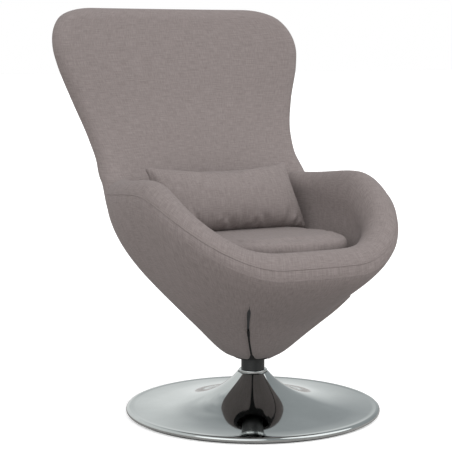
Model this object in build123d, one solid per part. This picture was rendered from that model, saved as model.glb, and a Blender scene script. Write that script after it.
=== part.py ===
"""Swivel tub armchair: spun metal base, turning spindle, moulded shell, padding, sewn covers and cushions.

Millimetres, Z up, front of the chair towards -Y, origin on the floor under the swivel axis.
"""
from build123d import *
import math
import os

# Base and column
base_radius = 300.0
base_neck_radius = 36.0
base_neck_height = 96.0
base_sheet = 2.2
rim_bead_height = 10.5
rim_bead_width = 15.0
bead_foot = 3.0
bead_shoulder = 3.5
bead_shoulder_drop = 1.6
bead_bulge_share = 0.45
flare_rise = 7.7
neck_flare = 21.0
neck_share = 0.52
floor_ring_height = 4.0
floor_ring_width = 16.0
floor_ring_inset = 10.0
base_plate_thickness = 3.0
base_plate_clearance = 0.3
neck_ring_height = 6.0
neck_ring_width = 6.0
column_radius = 27.5
column_bore_radius = 21.0
column_top = 196.0
column_plug_height = 24.0
column_bolt_radius = 8.0
column_bolt_length = 22.0
column_bolt_head_radius = 13.0
column_bolt_head_height = 3.0

# Swivel bearing and spindle
spindle_radius = 16.0
running_clearance = 0.05
bush_length = 20.0
bush_flange = 2.0
bush_flange_radius = 25.0
lower_bush_bottom = 44.0
thrust_washer_thickness = 2.0
spindle_collar_radius = 24.0
spindle_collar_height = 6.0
spindle_tail = 9.0
clip_thickness = 2.0
clip_radius = 19.5
clip_groove_depth = 3.0
clip_mouth = 12.0

# Seat plate, its fasteners and the seat board
plate_size = 186.0
plate_thickness = 4.0
plate_corner_radius = 16.0
plate_hub_radius = 34.0
plate_bolt_spacing = 150.0
plate_bolt_radius = 4.0
plate_bolt_head_radius = 7.0
plate_bolt_head_height = 5.0
tee_nut_radius = 10.0
tee_nut_flange = 1.6
tee_nut_barrel_radius = 5.5
board_radius = 141.0
board_thickness = 14.0

# Tub outline in plan, radius of the seam line at five azimuths from the front
rim_radius_front = 312.0
rim_radius_shoulder = 337.0
rim_radius_side = 313.0
rim_radius_quarter = 356.0
rim_radius_rear = 352.0

# Seat deck, from which the heights of the crest, the parting and the back are measured
deck_radius = 155.0
deck_height = 340.0

# Tub crest, low at the front and rising to the arms
front_crest = deck_height + 75.0
arm_crest = deck_height + 220.0
rise_start = 17.0
rise_end = 86.0
wing_crest = deck_height + 212.0

# Tub section
roll_width_front = 86.0
roll_width_arm = 96.0
roll_width_wing = 84.0
roll_width_rear = 116.0
roll_outer_drop = 31.0
roll_inner_drop = 45.0
skirt_top_radius = 150.0
skirt_top_height = 222.0
skirt_angle = 44.0
belly_reach = 66.0
side_reach_front = 90.0
side_reach_rear = 152.0
side_flare_front = 20.0
side_flare_arm = 5.0
side_flare_rear = 20.0
inner_wall_share = 0.5
deck_edge_reach = 60.0

# Skirt round the column, with its two slits
skirt_hem_radius = 45.0
skirt_hem_height = 128.0
skirt_hem_angle = 28.0
skirt_hem_reach = 28.0
skirt_top_reach = 55.0
slit_azimuths = (-31.0, 58.0)
slit_hem_width = 8.0
slit_top_height = 303.0
lining_thickness = 1.2

# Layers of the upholstery
cover_thickness = 3.0
inner_cover_thickness = 2.0
shell_thickness = 6.0
layer_gap = 0.3
back_gap = 1.2
piping_radius = 2.2

# Back: height, recline and wings, one value for each rib from the parting up
parting_height = deck_height + 160.0
wing_azimuth = 128.0
back_top = parting_height + 452.0
back_top_round = 27.0
ear_radius = 120.0
rib_lifts = (0.0, 55.0, 140.0, 220.0, 300.0, 370.0)
rib_heights = tuple(parting_height + lift for lift in rib_lifts)
rib_rear = (354.0, 366.0, 391.0, 416.0, 437.0, 458.0)
wing_half_width = (250.0, 243.0, 253.0, 277.0, 304.0, 318.0)
wing_setback = (195.0, 250.0, 309.0, 344.0, 365.0, 386.0)
back_thickness = (118.0, 114.0, 100.0, 84.0, 71.0, 63.0)
wing_thickness = (73.0, 64.0, 57.0, 55.0, 54.0, 54.0)
top_rear = 485.0
top_wing_half_width = 332.0
top_wing_setback = 418.0
top_thickness = 55.0

# Seat cushion
cushion_front = 228.0
cushion_rear = 207.0
cushion_half_width = 199.0
cushion_corner = 166.0
cushion_clearance = 0.8
cushion_height = 82.0
cushion_slope = 3.1
cushion_cover = 1.5
filling_gap = 0.8

# Lumbar pillow
pillow_width = 398.0
pillow_height = 176.0
pillow_thickness = 118.0
pillow_pull = 12.0
pillow_lean = 31.0
pillow_setback = 90.0
pillow_clearance = 0.5
pillow_cover = 1.5

# Construction values
azimuths = (-18, 0, 18, 32, 46, 60, 74, 88, 102, 115, 128, 142, 160, 180, 200)
kappa = 0.5523


def smooth_step(value, start, end):
    """Rise from 0 to 1 between start and end with level ends."""
    share = min(max((value - start) / (end - start), 0.0), 1.0)
    return share * share * (3.0 - 2.0 * share)


def mix(first, second, share):
    return first + (second - first) * share


def turn_from_front(azimuth):
    return 180.0 - abs(180.0 - abs(azimuth))


def rim_radius(azimuth):
    """Cosine series through the five named radii, level at the front and the rear."""
    named = (rim_radius_front, rim_radius_shoulder, rim_radius_side, rim_radius_quarter, rim_radius_rear)
    total = 0.0
    for order in range(5):
        weight = 0.0
        for step, radius in enumerate(named):
            share = 0.5 if step in (0, 4) else 1.0
            weight += share * radius * math.cos(math.pi * order * step / 4)
        weight *= 0.25 if order in (0, 4) else 0.5
        total += weight * math.cos(order * math.radians(azimuth))
    return total


def crest_height(azimuth):
    turn = turn_from_front(azimuth)
    rising = mix(front_crest, arm_crest, smooth_step(turn, rise_start, rise_end))
    return mix(rising, wing_crest, smooth_step(turn, rise_end, wing_azimuth))


def seam_height(azimuth):
    """Seam a fixed drop below the crest, coming down to the parting where the back begins."""
    share = smooth_step(turn_from_front(azimuth), rise_end, wing_azimuth)
    return mix(crest_height(azimuth) - roll_outer_drop, parting_height, share)


def roll_width(azimuth):
    turn = turn_from_front(azimuth)
    width = mix(roll_width_front, roll_width_arm, smooth_step(turn, 0, rise_end))
    width = mix(width, roll_width_wing, smooth_step(turn, rise_end, wing_azimuth))
    return mix(width, roll_width_rear, smooth_step(turn, wing_azimuth, 180))


def polar(azimuth, point):
    """Place a (radius, height) point at an azimuth measured from the front."""
    angle = math.radians(azimuth)
    return (point[0] * math.sin(angle), -point[0] * math.cos(angle), point[1])


def step_from(point, angle, length):
    """Move a point along a direction given as an angle above the horizontal."""
    turn = math.radians(angle)
    return (point[0] + length * math.cos(turn), point[1] + length * math.sin(turn))


def belly_curve(azimuth, inset):
    """Outer side of the tub from the skirt up to the seam, moved inwards by the inset."""
    turn = turn_from_front(azimuth)
    flare = mix(side_flare_front, side_flare_arm, smooth_step(turn, 0, 80))
    flare = mix(flare, side_flare_rear, smooth_step(turn, 100, 180))
    reach = mix(side_reach_front, side_reach_rear, smooth_step(turn, 60, 140))
    low = step_from((skirt_top_radius, skirt_top_height), skirt_angle + 90, inset)
    seam = (rim_radius(azimuth), seam_height(azimuth))
    high = step_from(seam, 180 - flare, inset)
    return [low, step_from(low, skirt_angle, belly_reach), step_from(high, 270 - flare, reach), high]


def roll_curves(azimuth, inset):
    """Rolled rim from the seam over the crest to the inner wall, as two quarter ellipses."""
    seam = belly_curve(azimuth, inset)[3]
    top = crest_height(azimuth) - inset
    middle = rim_radius(azimuth) - roll_width(azimuth) / 2
    crest = (middle, top)
    inner = (rim_radius(azimuth) - roll_width(azimuth) + inset, crest_height(azimuth) - roll_inner_drop)
    outer_quarter = [
        seam,
        (seam[0], mix(seam[1], top, kappa)),
        (mix(middle, seam[0], kappa), top),
        crest,
    ]
    inner_quarter = [
        crest,
        (mix(middle, inner[0], kappa), top),
        (inner[0], mix(inner[1], top, kappa)),
        inner,
    ]
    return outer_quarter, inner_quarter


def well_curve(azimuth, inset):
    """Inner wall from the roll down to the edge of the seat deck."""
    inner = roll_curves(azimuth, inset)[1][3]
    deck = (deck_radius, deck_height - inset)
    bend = mix(inner[1], deck[1], inner_wall_share)
    return [inner, (inner[0], bend), (deck[0] + deck_edge_reach, deck[1]), deck]


def section_wire(azimuth, pieces):
    """Closed wire at an azimuth from lists of two points (lines) or four points (curves)."""
    edges = []
    for piece in pieces:
        points = [polar(azimuth, point) for point in piece]
        edges.append(Edge.make_line(*points) if len(points) == 2 else Edge.make_bezier(*points))
    return Wire(edges)


def ring_loft(pieces_at):
    """Loft the sections round one half, trim at the middle plane and mirror."""
    wires = [section_wire(azimuth, pieces_at(azimuth)) for azimuth in azimuths]
    half = Solid.make_loft(wires)
    reach = 2 * base_radius
    half = half & Pos(reach, 0, reach) * Box(2 * reach, 4 * reach, 2 * reach)
    return half + mirror(half, about=Plane.YZ)


def strip(outer, inner):
    """Section of a layer between two chains of curves that run the same way."""
    back = [piece[::-1] for piece in reversed(inner)]
    return outer + [[outer[-1][-1], back[0][0]]] + back + [[back[-1][-1], outer[0][0]]]


def back_rib(level):
    """Rib sizes at a share of the way through the named ribs: rear, half width, setback, thickness, wing."""
    heights = rib_heights + (back_top,)
    tables = (
        rib_rear + (top_rear,),
        wing_half_width + (top_wing_half_width,),
        wing_setback + (top_wing_setback,),
        back_thickness + (top_thickness,),
        wing_thickness + (wing_thickness[-1],),
    )
    spot = max(index for index in range(len(heights) - 1) if heights[index] <= level)
    share = (level - heights[spot]) / (heights[spot + 1] - heights[spot])
    return [mix(table[spot], table[spot + 1], share) for table in tables]


def rib_wire(level, outer_inset, inner_inset, end_inset, top, depth=None):
    """Crescent at a height: outer arc, rounded wing ends and inner arc, drawn in near the top.

    With a depth the crescent is a layer of that thickness under the outer arc.
    """
    rear, half_width, setback, thickness, wing = back_rib(level)
    swell = 1.0
    if level > top - back_top_round:
        swell = math.sqrt(1 - ((level - top + back_top_round) / back_top_round) ** 2)
    drawn = 0.0
    if level > back_top - ear_radius:
        drawn = ear_radius - math.sqrt(ear_radius ** 2 - (level - back_top + ear_radius) ** 2)
    middle = rear - thickness / 2
    sag = middle - setback
    radius = (half_width ** 2 + sag ** 2) / (2 * sag)
    end_angle = math.asin((half_width - drawn) / radius)
    outer_half = (thickness / 2 - outer_inset) * swell
    outer_end = (wing / 2 - outer_inset) * swell
    if depth is None:
        inner_half = -(thickness / 2 - inner_inset) * swell
        inner_end = -(wing / 2 - inner_inset) * swell
        tip_angle = end_angle + (wing / 2 - end_inset) * swell / radius
    else:
        inner_half = outer_half - depth
        inner_end = outer_end - depth
        tip_angle = end_angle + depth / 2 / radius

    def on_arc(angle, offset):
        reach = radius + offset
        return (reach * math.sin(angle), middle - radius + reach * math.cos(angle), level)

    def wing_end(side):
        """Points round one wing end, from the outer arc over the tip to the inner arc."""
        centre = (outer_end + inner_end) / 2
        round_share = math.sqrt(0.5)
        near = side * mix(end_angle, tip_angle, round_share)
        return (
            on_arc(side * end_angle, outer_end),
            on_arc(near, mix(centre, outer_end, round_share)),
            on_arc(side * tip_angle, centre),
            on_arc(near, mix(centre, inner_end, round_share)),
            on_arc(side * end_angle, inner_end),
        )

    right = wing_end(1)
    left = wing_end(-1)
    return Wire([
        Edge.make_three_point_arc(left[0], on_arc(0, outer_half), right[0]),
        Edge.make_three_point_arc(right[0], right[1], right[2]),
        Edge.make_three_point_arc(right[2], right[3], right[4]),
        Edge.make_three_point_arc(right[4], on_arc(0, inner_half), left[4]),
        Edge.make_three_point_arc(left[4], left[3], left[2]),
        Edge.make_three_point_arc(left[2], left[1], left[0]),
    ])


def back_loft(outer_inset, inner_inset, end_inset, top_inset):
    """Loft of the crescents from the parting to the rounded top."""
    top = back_top - top_inset
    levels = list(rib_heights)
    levels += [mix(rib_heights[-1], top - back_top_round, share) for share in (0.5, 1.0)]
    levels += [top - back_top_round * (1 - math.sin(math.radians(turn))) for turn in (35, 60, 80)]
    return Solid.make_loft([rib_wire(level, outer_inset, inner_inset, end_inset, top) for level in levels])


def back_shell_loft(outer_inset):
    """Moulded layer under the outer arc, ending below the rounded top."""
    top = back_top - back_top_round - shell_thickness
    levels = list(rib_heights) + [mix(rib_heights[-1], top, share) for share in (0.5, 1.0)]
    wires = [rib_wire(level, outer_inset, 0, 0, back_top, shell_thickness) for level in levels]
    return Solid.make_loft(wires)


def turned(points):
    """Solid of revolution about the swivel axis from a closed outline of (radius, height) points."""
    outline = Polyline(*[(radius, 0, height) for radius, height in points], close=True)
    return revolve(make_face(outline), Axis.Z)


def tube(outer, inner, bottom, top):
    return turned([(inner, bottom), (outer, bottom), (outer, top), (inner, top)])


def disc(radius, bottom, top):
    return Pos(0, 0, (bottom + top) / 2) * Cylinder(radius, top - bottom)


# Derived heights up the swivel axis
plate_seat = floor_ring_height
column_foot = plate_seat + base_plate_thickness
flange_top = column_top + bush_flange
collar_bottom = flange_top + thrust_washer_thickness
collar_top = collar_bottom + spindle_collar_height
shell_outer = cover_thickness + layer_gap
shell_inner = shell_outer + shell_thickness
shell_foot = step_from((skirt_top_radius, skirt_top_height), skirt_angle + 90, shell_outer)
plate_top = shell_foot[1]
plate_bottom = plate_top - plate_thickness
board_bottom = plate_top + shell_thickness
board_top = board_bottom + board_thickness
deck_bottom = deck_height - inner_cover_thickness
cushion_bottom = deck_height + cushion_clearance
cushion_top = cushion_bottom + cushion_height
spindle_bottom = lower_bush_bottom - spindle_tail

nodes = {}


# Base: rubber floor ring, bottom plate, spun trumpet and neck ring
def make_base():
    ring_outer = base_radius - floor_ring_inset
    nodes["floor_ring"] = tube(ring_outer, ring_outer - floor_ring_width, 0, floor_ring_height)
    bead_inner = base_radius - rim_bead_width
    nodes["base_plate"] = tube(
        bead_inner - base_plate_clearance, column_bolt_radius + base_plate_clearance, plate_seat, column_foot
    )
    bead_top = floor_ring_height + rim_bead_height

    def flare_curve(drop):
        """Trumpet line from the bead in to the neck, moved under itself by the drop."""
        return Bezier(
            (bead_inner, 0, bead_top - drop),
            (base_radius / 2, 0, bead_top + flare_rise - drop),
            (base_neck_radius + neck_flare - drop, 0, base_neck_height * neck_share - drop),
            (base_neck_radius - drop, 0, base_neck_height),
        )

    top_line = flare_curve(0)
    under_line = flare_curve(base_sheet)
    bead_mid = floor_ring_height + rim_bead_height * bead_bulge_share
    outline = Wire([
        top_line.edge(),
        Line(top_line @ 1, under_line @ 1).edge(),
        under_line.edge(),
        Line(under_line @ 0, (bead_inner, 0, floor_ring_height)).edge(),
        Line((bead_inner, 0, floor_ring_height), (base_radius - bead_foot, 0, floor_ring_height)).edge(),
        ThreePointArc(
            (base_radius - bead_foot, 0, floor_ring_height),
            (base_radius, 0, bead_mid),
            (base_radius - bead_shoulder, 0, bead_top - bead_shoulder_drop),
        ).edge(),
        ThreePointArc(
            (base_radius - bead_shoulder, 0, bead_top - bead_shoulder_drop),
            (mix(bead_inner, base_radius, 0.5), 0, bead_top),
            (bead_inner, 0, bead_top),
        ).edge(),
    ])
    nodes["base_trumpet"] = revolve(Face(outline), Axis.Z)
    ring_inner = column_radius + running_clearance
    ring_top = base_neck_height + neck_ring_height
    neck_ring = tube(column_radius + neck_ring_width, ring_inner, base_neck_height, ring_top)
    rim = neck_ring.edges().group_by(Axis.Z)[-1].sort_by(SortBy.LENGTH)[-1]
    nodes["neck_ring"] = fillet(rim, neck_ring_width * 0.4)


# Column with its plug, clamp bolt, bushes and thrust washer
def make_column():
    column = tube(column_radius, column_bore_radius, column_foot, column_top)
    plug_top = column_foot + column_plug_height
    column += tube(column_bore_radius + 1, column_bolt_radius, column_foot, plug_top)
    nodes["column_tube"] = column
    bolt = disc(column_bolt_radius - running_clearance, plate_seat, plate_seat + column_bolt_length)
    bolt += disc(column_bolt_head_radius, plate_seat - column_bolt_head_height, plate_seat)
    nodes["column_bolt"] = bolt
    bush_outer = column_bore_radius - running_clearance / 5
    bush_inner = spindle_radius + running_clearance
    upper = tube(bush_outer, bush_inner, column_top - bush_length, flange_top)
    upper += tube(bush_flange_radius, bush_inner, column_top, flange_top)
    nodes["upper_bush"] = upper
    nodes["lower_bush"] = tube(bush_outer, bush_inner, lower_bush_bottom, lower_bush_bottom + bush_length)
    nodes["thrust_washer"] = tube(spindle_collar_radius, bush_inner, flange_top, collar_bottom)


# Spindle, clip, seat plate and fasteners that turn with the seat
def make_spindle():
    groove_top = lower_bush_bottom - running_clearance
    groove_radius = spindle_radius - clip_groove_depth
    nodes["swivel_spindle"] = turned([
        (0, spindle_bottom),
        (spindle_radius, spindle_bottom),
        (spindle_radius, groove_top - clip_thickness),
        (groove_radius, groove_top - clip_thickness),
        (groove_radius, groove_top),
        (spindle_radius, groove_top),
        (spindle_radius, collar_bottom),
        (spindle_collar_radius, collar_bottom),
        (spindle_collar_radius, collar_top),
        (spindle_radius, collar_top),
        (spindle_radius, plate_top),
        (0, plate_top),
    ])
    clip = tube(clip_radius, groove_radius, groove_top - clip_thickness, groove_top)
    mouth = Box(clip_mouth, 2 * clip_radius, 4 * clip_thickness)
    nodes["spindle_clip"] = clip - Pos(0, -clip_radius, groove_top) * mouth
    plate = Pos(0, 0, plate_bottom + plate_thickness / 2) * Box(plate_size, plate_size, plate_thickness)
    plate = fillet(plate.edges().filter_by(Axis.Z), plate_corner_radius)
    plate += turned([
        (spindle_radius, collar_top),
        (spindle_collar_radius, collar_top),
        (plate_hub_radius, plate_bottom),
        (spindle_radius, plate_bottom),
    ])
    plate -= disc(spindle_radius, collar_top, plate_top)
    spots = GridLocations(plate_bolt_spacing, plate_bolt_spacing, 2, 2)
    bolt_hole = plate_bolt_radius + layer_gap
    plate -= spots * disc(bolt_hole, plate_bottom - 1, plate_top + 1)
    nodes["seat_plate"] = plate
    bolt = disc(plate_bolt_radius, plate_bottom, board_top - 1)
    head = Pos(0, 0, plate_bottom - plate_bolt_head_height / 2)
    bolt += head * extrude(RegularPolygon(plate_bolt_head_radius, 6), plate_bolt_head_height / 2, both=True)
    nodes["plate_bolts"] = Compound(children=[spot * bolt for spot in spots])
    nut = tube(tee_nut_barrel_radius, bolt_hole, board_bottom + 1, board_top)
    nut += tube(tee_nut_radius, bolt_hole, board_top, board_top + tee_nut_flange)
    nodes["tee_nuts"] = Compound(children=[spot * nut for spot in spots])
    board = disc(board_radius, board_bottom, board_top)
    board -= spots * disc(tee_nut_barrel_radius, board_bottom - 1, board_top + 1)
    nodes["seat_board"] = board


# Parting between tub and back: a fan behind the wing ends, above the parting height
def rear_fan():
    reach = 3 * base_radius
    edge = polar(wing_azimuth, (reach, parting_height))
    fan = Polyline(
        (0, 0, parting_height), (edge[0], edge[1], parting_height), (edge[0], reach, parting_height),
        (-edge[0], reach, parting_height), (-edge[0], edge[1], parting_height), close=True,
    )
    return extrude(make_face(fan), reach, dir=(0, 0, 1))


def slit_cuts():
    """Two upright wedges through the cover, widest at the hem."""
    low = skirt_hem_height - slit_hem_width
    wedge = make_face(Polyline(
        (-slit_hem_width / 2, 0, low), (slit_hem_width / 2, 0, low), (0, 0, slit_top_height), close=True,
    ))
    blade = extrude(wedge, rim_radius_shoulder, dir=(0, -1, 0))
    return [Rot(0, 0, azimuth) * blade for azimuth in slit_azimuths]


# Tub: outer cover, inner cover, padding and shell, with the back let into the arms
def make_tub():
    fan = rear_fan()
    back_form = back_loft(-layer_gap, -layer_gap, -layer_gap, 0)
    pad_outer = shell_inner + layer_gap
    pad_inner = inner_cover_thickness + layer_gap

    def cover_section(azimuth):
        return strip([belly_curve(azimuth, 0)], [belly_curve(azimuth, cover_thickness)])

    def shell_section(azimuth):
        return strip([belly_curve(azimuth, shell_outer)], [belly_curve(azimuth, shell_inner)])

    def inner_chain(azimuth, inset):
        return [*roll_curves(azimuth, inset), well_curve(azimuth, inset)]

    def inner_section(azimuth):
        outside = inner_chain(azimuth, 0)
        start = outside[0][0]
        outside[0][0] = (start[0], start[1] + layer_gap)
        inside = inner_chain(azimuth, inner_cover_thickness)
        start = inside[0][0]
        inside[0][0] = (start[0], start[1] + layer_gap)
        return strip(outside, inside)

    def pad_section(azimuth):
        belly = belly_curve(azimuth, pad_outer)
        outer_quarter, inner_quarter, well = inner_chain(azimuth, pad_inner)
        step = (belly[3][0], belly[3][1] + layer_gap)
        ledge = (outer_quarter[0][0], step[1])
        outer_quarter[0] = ledge
        foot = (deck_radius, board_top)
        return [belly, [belly[3], step], [step, ledge], outer_quarter, inner_quarter, well,
                [well[3], foot], [foot, belly[0]]]

    def let_in(layer):
        """Main piece left when the back's place is taken out."""
        return (layer - fan - back_form).solids().sort_by(SortBy.VOLUME)[-1]

    nodes["outer_cover"] = let_in(ring_loft(cover_section)) - slit_cuts()
    nodes["inner_cover"] = let_in(ring_loft(inner_section))
    below_board = disc(base_radius, 0, board_top + 2)
    nodes["tub_padding"] = let_in(ring_loft(pad_section)) - below_board
    shell = let_in(ring_loft(shell_section))
    floor_edge = shell_foot[0] - 1
    shell += turned([(0, plate_top), (floor_edge, plate_top), (floor_edge, board_bottom), (0, board_bottom)])
    spots = GridLocations(plate_bolt_spacing, plate_bolt_spacing, 2, 2)
    nodes["tub_shell"] = shell - spots * disc(plate_bolt_radius + layer_gap, plate_top - 1, board_bottom + 1)


# Seam cord on the outer edge of the rolled rim, a round bead just outside the covers
def make_piping():
    ends = (-wing_azimuth + 10, wing_azimuth - 10)
    count = 25
    wires = []
    for step in range(count):
        azimuth = mix(ends[0], ends[1], step / (count - 1))
        seam = (rim_radius(azimuth) + piping_radius + layer_gap / 2, seam_height(azimuth))
        corners = [step_from(seam, turn, piping_radius) for turn in (0, 60, 120, 180, 240, 300)]
        points = [polar(azimuth, corner) for corner in corners]
        wires.append(Wire([
            Edge.make_three_point_arc(points[0], points[1], points[2]),
            Edge.make_three_point_arc(points[2], points[3], points[4]),
            Edge.make_three_point_arc(points[4], points[5], points[0]),
        ]))
    nodes["rim_piping"] = Solid.make_loft(wires)


# Skirt and its dark lining round the top of the column
def make_skirt():
    hem = (skirt_hem_radius, skirt_hem_height)
    top = step_from((skirt_top_radius, skirt_top_height), skirt_angle + 180, layer_gap)
    line = [
        hem,
        step_from(hem, skirt_hem_angle, skirt_hem_reach),
        step_from(top, skirt_angle + 180, skirt_top_reach),
        top,
    ]

    def cone(near, far, top_drop):
        """Layer between two insets of the skirt line, turned about the swivel axis."""
        lowered = line[:2] + [step_from(point, skirt_angle + 180, top_drop) for point in line[2:]]
        outer = [step_from(point, skirt_angle + 90, near) for point in lowered]
        inner = [step_from(point, skirt_angle + 90, far) for point in lowered]
        edges = []
        for piece in strip([outer], [inner]):
            points = [(radius, 0, height) for radius, height in piece]
            edges.append(Edge.make_line(*points) if len(points) == 2 else Edge.make_bezier(*points))
        return revolve(Face(Wire(edges)), Axis.Z)

    lining_near = cover_thickness + layer_gap
    panels = (cone(0, cover_thickness, 0) - slit_cuts()).solids().sort_by(Axis.Y)
    nodes["skirt_front"] = panels[0]
    nodes["skirt_rear"] = panels[1]
    nodes["skirt_lining"] = cone(lining_near, lining_near + lining_thickness, shell_thickness)


# Foam block on the board and the cloth deck over it
def make_deck():
    block = disc(deck_radius - layer_gap, board_top, deck_bottom)
    spots = GridLocations(plate_bolt_spacing, plate_bolt_spacing, 2, 2)
    block -= spots * disc(tee_nut_radius + 1, board_top - 1, board_top + tee_nut_flange + layer_gap)
    nodes["seat_block"] = block
    nodes["seat_deck"] = disc(deck_radius - layer_gap, deck_bottom, deck_height)


# Back: sewn sleeve, moulded shell and padding in front of it
def make_back():
    hollow = back_loft(cover_thickness, cover_thickness, cover_thickness, cover_thickness)
    nodes["back_cover"] = back_loft(0, 0, 0, 0) - hollow
    shell_inset = cover_thickness + back_gap
    nodes["back_shell"] = back_shell_loft(shell_inset)
    pad_rear = shell_inset + shell_thickness + back_gap
    nodes["back_padding"] = back_loft(pad_rear, shell_inset, shell_inset, shell_inset)


def cushion_loft(inset):
    """Seat cushion: rounded outlines at rising heights, tucked under at the foot and sloped to the rear."""
    # share of the height, draw-in of the sides, extra draw-in of the front over the rolled rim
    stations = (
        (0.00, 66.0, 12.0), (0.12, 30.0, 12.0), (0.40, 6.0, 11.0),
        (0.72, 1.0, 1.0), (0.90, 12.0, 1.0), (1.00, 60.0, 4.0),
    )
    wires = []
    for share, draw, front_draw in stations:
        level = mix(cushion_bottom + inset, cushion_top - inset, share)
        half = cushion_half_width - draw - inset
        front = -(cushion_front - draw - front_draw - inset)
        rear = cushion_rear - draw - inset
        corner = min(cushion_corner, half - 8)
        outline = Pos(0, (rear + front) / 2, 0) * RectangleRounded(2 * half, rear - front, corner)
        wires.append((Pos(0, 0, level) * Rot(-cushion_slope * share, 0, 0) * outline).wire())
    return Solid.make_loft(wires)


def make_seat_cushion():
    nodes["seat_cushion_cover"] = cushion_loft(0) - cushion_loft(cushion_cover)
    nodes["seat_cushion_foam"] = cushion_loft(cushion_cover + filling_gap)


def pillow_draw(share):
    """Draw-in of the pillow's outline at a share of its half thickness."""
    return 0.5 * pillow_height * (1 - math.sqrt(1 - (0.93 * share) ** 2))


def pillow_bow(share):
    """Bow of the pillow's four sides at a share of its half thickness."""
    return pillow_pull * (1 - 0.8 * abs(share))


def pillow_loft(inset):
    """Pillow: four bowed sides, full at the seam plane and drawn in towards both crowned faces."""
    wires = []
    for share in (-1.0, -0.86, -0.6, -0.25, 0.25, 0.6, 0.86, 1.0):
        draw = pillow_draw(share)
        half_width = pillow_width / 2 - inset - draw
        half_height = pillow_height / 2 - inset - draw
        pull = pillow_bow(share)
        level = share * (pillow_thickness / 2 - inset)
        corners = [(-half_width, -half_height), (half_width, -half_height),
                   (half_width, half_height), (-half_width, half_height)]
        middles = [(0, pull - half_height), (half_width - pull, 0),
                   (0, half_height - pull), (pull - half_width, 0)]
        edges = []
        for side in range(4):
            bowed = (corners[side], middles[side], corners[(side + 1) % 4])
            edges.append(Edge.make_three_point_arc(*[(x, level, z) for x, z in bowed]))
        wires.append(Wire(edges))
    return Solid.make_loft(wires)


def make_pillow():
    lean = math.radians(pillow_lean)
    sway = pillow_height / 2 * math.sin(lean) + pillow_setback
    reach = 0.0
    for step in range(21):
        share = step / 20
        rear_side = share * pillow_thickness / 2
        low_side = pillow_height / 2 - pillow_draw(share) - pillow_bow(share) / 2
        depth = sway + rear_side * math.cos(lean) - low_side * math.sin(lean)
        slope_drop = depth * math.tan(math.radians(cushion_slope))
        reach = max(reach, low_side * math.cos(lean) + rear_side * math.sin(lean) - slope_drop)
    lift = reach + cushion_top + pillow_clearance
    place = Pos(0, sway, lift) * Rot(-pillow_lean, 0, 0)
    nodes["pillow_cover"] = place * (pillow_loft(0) - pillow_loft(pillow_cover))
    nodes["pillow_filling"] = place * pillow_loft(pillow_cover + filling_gap)


make_base()
make_column()
make_spindle()
make_tub()
make_piping()
make_skirt()
make_deck()
make_back()
make_seat_cushion()
make_pillow()

os.makedirs("parts", exist_ok=True)
for name, solid in nodes.items():
    export_step(solid, os.path.join("parts", name + ".step"))
    print(name, len(solid.solids()), round(solid.volume))
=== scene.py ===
"""Looks of the swivel tub armchair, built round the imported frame.

Shape values are in millimetres and degrees unless a comment says otherwise, and lengths are turned into
metres when a mesh is made. Z is up, and the front of the chair faces -Y. Azimuths count from the front,
positive towards +X.
"""
import math
import bmesh
import bpy
import numpy as np
from mathutils import Matrix, Vector


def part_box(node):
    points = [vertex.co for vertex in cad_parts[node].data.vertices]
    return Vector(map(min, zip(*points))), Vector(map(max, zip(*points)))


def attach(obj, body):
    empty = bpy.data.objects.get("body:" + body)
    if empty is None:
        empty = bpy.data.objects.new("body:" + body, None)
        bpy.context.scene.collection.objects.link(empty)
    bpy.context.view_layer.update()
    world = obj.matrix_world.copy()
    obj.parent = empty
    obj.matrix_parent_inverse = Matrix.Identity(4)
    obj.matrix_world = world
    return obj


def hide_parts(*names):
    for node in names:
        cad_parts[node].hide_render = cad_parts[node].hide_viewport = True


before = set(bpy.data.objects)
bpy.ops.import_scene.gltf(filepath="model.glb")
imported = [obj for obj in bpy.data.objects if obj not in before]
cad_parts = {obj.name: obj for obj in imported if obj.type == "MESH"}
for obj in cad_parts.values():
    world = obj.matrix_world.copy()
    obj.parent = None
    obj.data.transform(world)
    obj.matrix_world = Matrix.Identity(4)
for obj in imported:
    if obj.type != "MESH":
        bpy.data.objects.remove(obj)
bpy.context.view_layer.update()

MM = 0.001
WEAVE_MAP = "weave"

# Distances in metres within which doubled points merge: turned pieces, pads, and folded or closing cloth
CLOSE_MERGE = 1e-6
PAD_MERGE = 1e-5
FOLD_MERGE = 2e-5

# Tub: widest radius at five even azimuths from front to rear, heights of the roll and where they change
RIM_RADII = np.array([313.5, 338.5, 314.5, 357.5, 353.5])
FRONT_CREST = 415.0
ARM_CREST = 560.0
WING_CREST = 544.0
RISE_START = 17.0
RISE_END = 86.0
WING_AZIMUTH = 128.0
CREST_DIP = 8.0
CREST_DIP_IN = (18.0, 36.0)
CREST_DIP_OUT = (55.0, 80.0)
PARTING_HEIGHT = 500.0
PARTING_LIP = 4.0
PARTING_SPAN = (131.0, 142.0)
DECK_RADIUS = 155.0
DECK_HEIGHT = 340.0
DECK_LEAD = 60.0

# Roll: widths at arm, wing and rear, drops at front, arm and wing, and the tuck behind the outer cover
ROLL_WIDTHS = (86.0, 84.0, 116.0)
ROLL_WIDTH_SPANS = ((RISE_END, WING_AZIMUTH), (WING_AZIMUTH, 180.0))
ROLL_OUTER_DROP = 48.0
ROLL_INNER_DROPS = (42.0, 72.0, 45.0)
ROLL_INNER_SPANS = ((25.0, 70.0), (90.0, 120.0))
ROLL_LEAST_DROP = 2.0
TUCK_DEPTH = 8.0
TUCK_INSET = 0.8
ROLL_COLUMNS = 216
ROLL_STEPS = 18
WELL_ROWS = 30

# Seam cord: drop below the arm line, thickness, and how far it stops short of the wings and the crest
SEAM_DROP = 31.0
PIPING_RADIUS = 1.5
PIPING_STOP = 8.0
PIPING_HIGHEST = 0.95
PIPING_COLUMNS = 260
PIPING_STEPS = 10

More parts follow.
